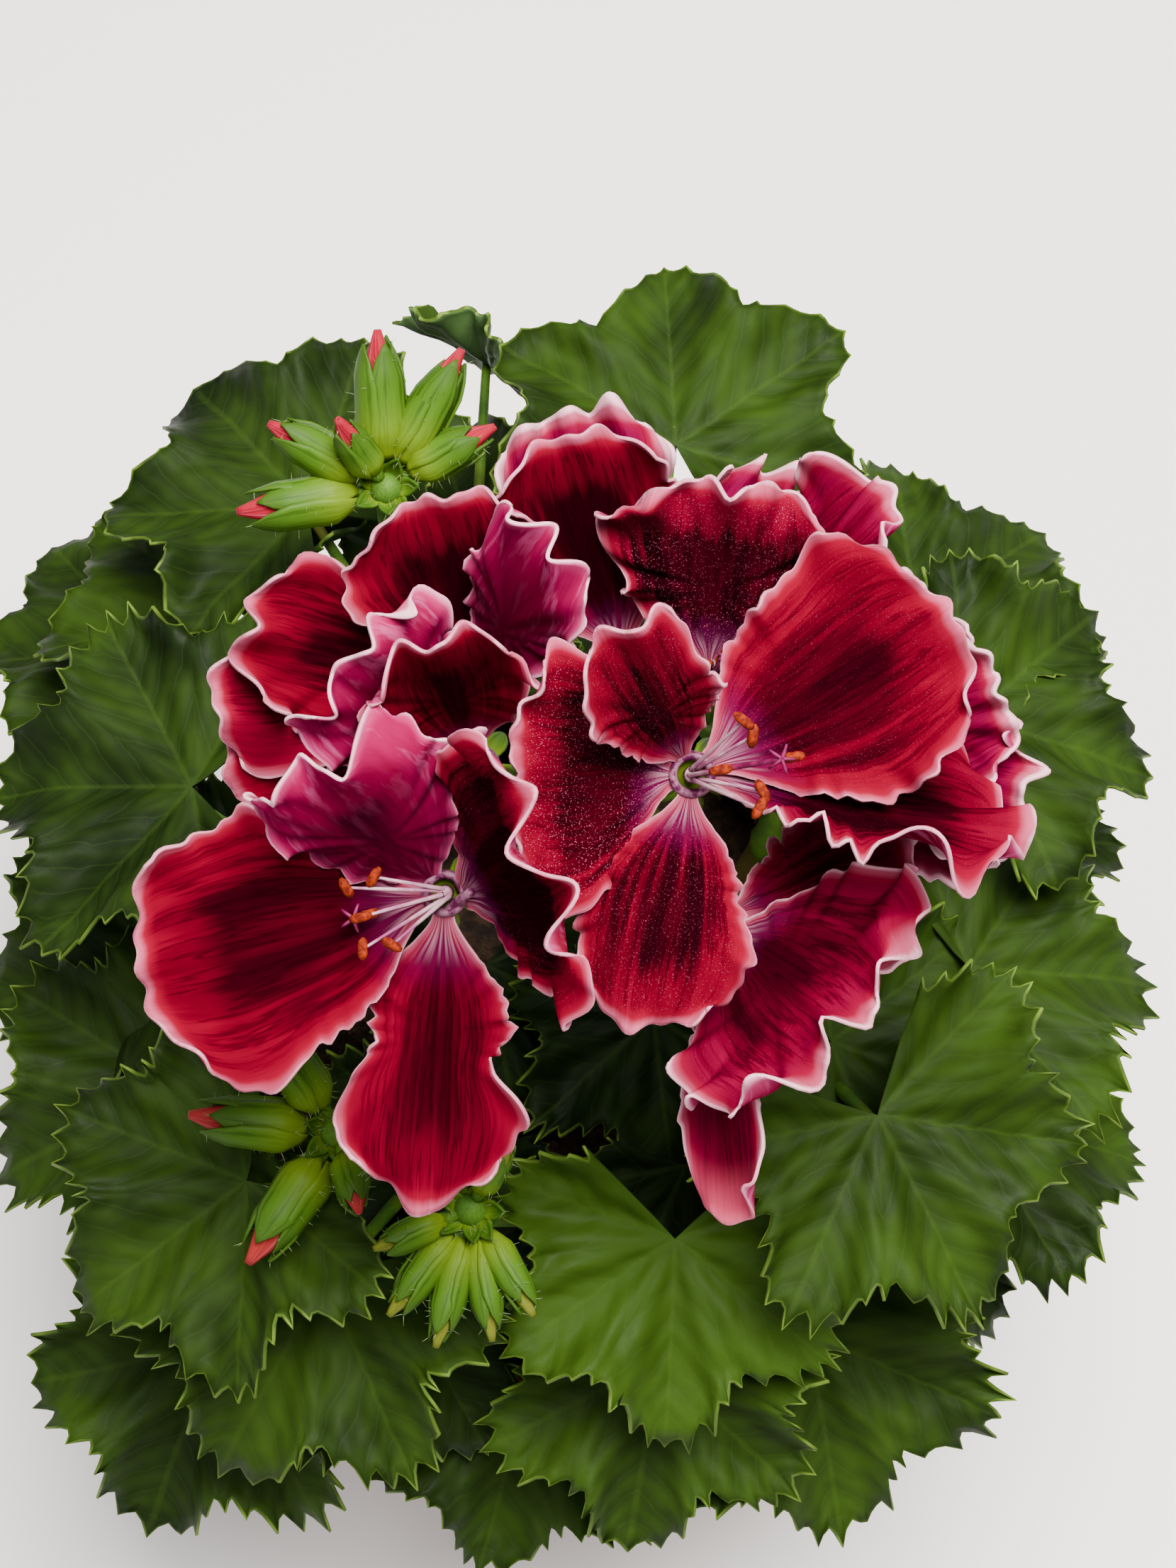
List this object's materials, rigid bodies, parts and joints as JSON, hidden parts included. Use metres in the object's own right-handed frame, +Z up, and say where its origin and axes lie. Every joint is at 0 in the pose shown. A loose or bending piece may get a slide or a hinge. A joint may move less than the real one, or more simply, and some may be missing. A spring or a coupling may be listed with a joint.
{
  "type": "regal pelargonium in a clay pot",
  "caption": "Potted regal pelargonium: a head of ruffled dark red blooms with pale margins over lobed toothed leaves and heads of buds, in a plain clay pot.",
  "frame": {"origin": "middle of the pot's underside, on the surface that it stands on", "axes": "+Z up along the pot's axis, -Y towards the side that the flower head leans to, +X to the right seen from there"},
  "size_m": [0.1701, 0.1742, 0.2284],
  "materials": {
    "clay": "dry unglazed clay",
    "soil": "crumbly potting soil",
    "leaf": "soft, slightly hairy leaf",
    "stalk": "downy green stalk",
    "petal": "velvety petal with a pale margin",
    "filament": "satin",
    "sepal": "downy sepals with red tips showing"
  },
  "bodies": {
    "root": {"bloom_1": "petal", "bloom_2": "petal", "bloom_3": "petal", "bloom_4": "petal", "bloom_5": "petal", "bloom_6": "petal", "bloom_7": "petal", "bloom_8": "petal", "bud_head_1": "sepal", "bud_head_2": "sepal", "bud_head_3": "sepal", "flower_stalk": "stalk", "pot": "clay", "shoot_1": "leaf", "shoot_2": "leaf", "shoot_3": "leaf", "shoot_4": "leaf", "shoot_5": "leaf", "shoot_6": "leaf", "shoot_7": "leaf", "soil": "soil", "stamens_1": "filament", "stamens_2": "filament", "stamens_3": "filament", "stamens_4": "filament", "stamens_5": "filament", "stamens_6": "filament", "stamens_7": "filament", "stamens_8": "filament"}
  },
  "joints": []
}
